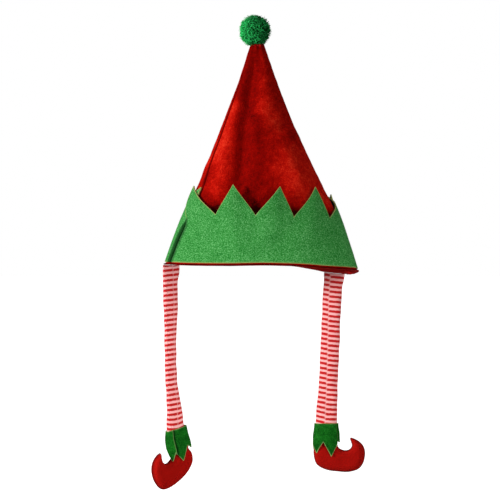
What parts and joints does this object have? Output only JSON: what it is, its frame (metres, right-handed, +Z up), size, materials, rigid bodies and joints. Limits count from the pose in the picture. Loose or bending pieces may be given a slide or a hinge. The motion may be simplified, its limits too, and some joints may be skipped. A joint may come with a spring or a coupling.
{
  "type": "elf hat with legs",
  "caption": "Cone-shaped plush elf hat with a zigzag felt brim, a pompom on top, and striped stuffed legs in curled shoes hanging from the rim.",
  "frame": {"origin": "middle of the rim opening, where a head holds the hat", "axes": "+Z up through the pompom, -Y to the front, +X to the wearer's left, which is the right end of the rim seen from the front"},
  "size_m": [0.3003, 0.126, 0.6655],
  "materials": {
    "red_plush": "short-pile red plush",
    "green_felt": "matt green felt with cut edges",
    "green_yarn": "cut green yarn",
    "striped_knit": "red and white striped jersey, stuffed",
    "green_velvet": "dark green velvet",
    "red_felt": "red felt, padded"
  },
  "bodies": {
    "root": {"crown_front": "red_plush", "crown_back": "red_plush", "brim_front": "green_felt", "brim_back": "green_felt", "pompom": "green_yarn", "leg_left": "striped_knit", "leg_right": "striped_knit", "cuff_left": "green_velvet", "cuff_right": "green_velvet", "shoe_left": "red_felt", "shoe_right": "red_felt"}
  },
  "joints": []
}
